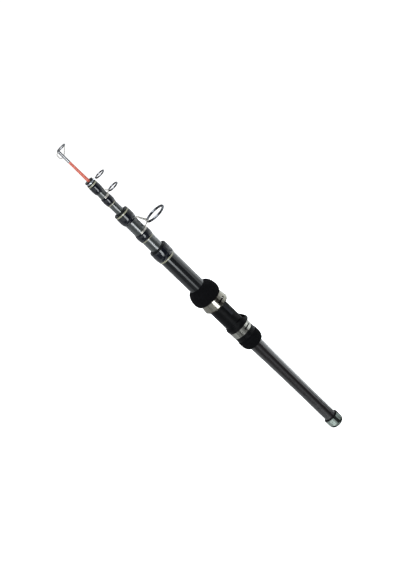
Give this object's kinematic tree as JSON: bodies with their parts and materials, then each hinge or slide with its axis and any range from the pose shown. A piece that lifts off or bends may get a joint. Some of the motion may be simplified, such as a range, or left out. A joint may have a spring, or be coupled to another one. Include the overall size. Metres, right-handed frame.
{
  "type": "telescopic fishing rod",
  "caption": "Closed telescopic spinning rod: nested tapered sections that pull out, wire line guides, foam grips, a reel seat with a screw-locked hood and a screw-off butt cap.",
  "frame": {"origin": "centre of the butt cap's flat end", "axes": "+Z along the rod from the butt to the tip, +X towards the line guides and the reel foot"},
  "size_m": [0.062, 0.0384, 0.5172],
  "materials": {
    "guide_chrome": "hard chromed wire, dark reflections",
    "bright_steel": "bright polished steel",
    "tip_orange": "gloss orange-red paint on solid glass fibre",
    "blank_dark": "gloss dark fibre tube",
    "blank_grey": "gloss grey-green lacquer on fibre tube",
    "blank_butt": "gloss blue-grey lacquer on fibre tube",
    "handle_satin": "satin grey-brown fibre tube",
    "whipping_black": "black thread binding under clear gloss varnish",
    "trim_gold": "pale gold thread under varnish",
    "mouth_black": "black moulded plastic",
    "foam": "matte black closed-cell foam",
    "seat_black": "satin black moulded plastic",
    "hood_steel": "polished stainless sheet",
    "cap_metal": "satin turned aluminium",
    "rubber_black": "black rubber"
  },
  "bodies": {
    "butt_section": {"butt_collar": "whipping_black", "butt_collar_trim": "trim_gold", "butt_ferrule": "mouth_black", "butt_blank": "blank_butt", "fore_grip": "foam", "fixed_hood": "hood_steel", "seat_body": "seat_black", "rear_grip": "foam", "section_stop": "rubber_black", "handle_tube": "handle_satin", "butt_thread_ring": "cap_metal", "cap_gasket": "rubber_black"},
    "third_section": {"third_guide_ring": "guide_chrome", "third_guide_frame": "bright_steel", "third_front_trim": "trim_gold", "third_front_whipping": "whipping_black", "third_rear_whipping": "whipping_black", "third_rear_trim": "trim_gold", "third_ferrule": "mouth_black", "third_blank": "blank_grey"},
    "second_section": {"second_guide_ring": "guide_chrome", "second_guide_frame": "bright_steel", "second_front_trim": "trim_gold", "second_front_whipping": "whipping_black", "second_rear_whipping": "whipping_black", "second_rear_trim": "trim_gold", "second_ferrule": "mouth_black", "second_blank": "blank_grey"},
    "tip_section": {"tip_ring": "guide_chrome", "tip_brace": "bright_steel", "tip_loop": "bright_steel", "tip_tube": "bright_steel", "tip_solid": "tip_orange", "tip_blank": "blank_dark"},
    "sliding_guide": {"sliding_guide_ring": "guide_chrome", "sliding_guide_band": "bright_steel", "sliding_guide_bush": "mouth_black"},
    "moving_hood": {"hood_sleeve": "seat_black", "hood_band": "hood_steel"},
    "lock_nut": {"lock_nut": "seat_black"},
    "cap_pad": {"butt_pad": "rubber_black"},
    "butt_cap": {"butt_cap": "cap_metal"}
  },
  "joints": [
    {"name": "third_slide", "type": "slide", "parent": "butt_section", "child": "third_section", "axis": [0, 0, 1], "range_m": [0, 0.1196]},
    {"name": "second_slide", "type": "slide", "parent": "third_section", "child": "second_section", "axis": [0, 0, 1], "range_m": [0, 0.3576]},
    {"name": "tip_slide", "type": "slide", "parent": "second_section", "child": "tip_section", "axis": [0, 0, 1], "range_m": [0, 0.4143]},
    {"name": "guide_slide", "type": "slide", "parent": "tip_section", "child": "sliding_guide", "axis": [0, 0, 1], "range_m": [0, 0.038]},
    {"name": "hood_slide", "type": "slide", "parent": "butt_section", "child": "moving_hood", "axis": [0, 0, 1], "range_m": [0, 0.012]},
    {"name": "nut_spin", "type": "hinge", "parent": "moving_hood", "child": "lock_nut", "pos_m": [0, 0, 0.181], "axis": [0, 0, 1], "range_deg": [0, 2160]},
    {"name": "cap_slide", "type": "slide", "parent": "butt_section", "child": "cap_pad", "axis": [0, 0, -1], "range_m": [0, 0.012]},
    {"name": "cap_spin", "type": "hinge", "parent": "cap_pad", "child": "butt_cap", "pos_m": [0, 0, 0.008], "axis": [0, 0, -1], "range_deg": [0, 2880]}
  ],
  "couplings": [
    {"joint": "hood_slide", "follows": "nut_spin", "m_per_rad": 0.00031831},
    {"joint": "cap_slide", "follows": "cap_spin", "m_per_rad": 0.00023873}
  ]
}
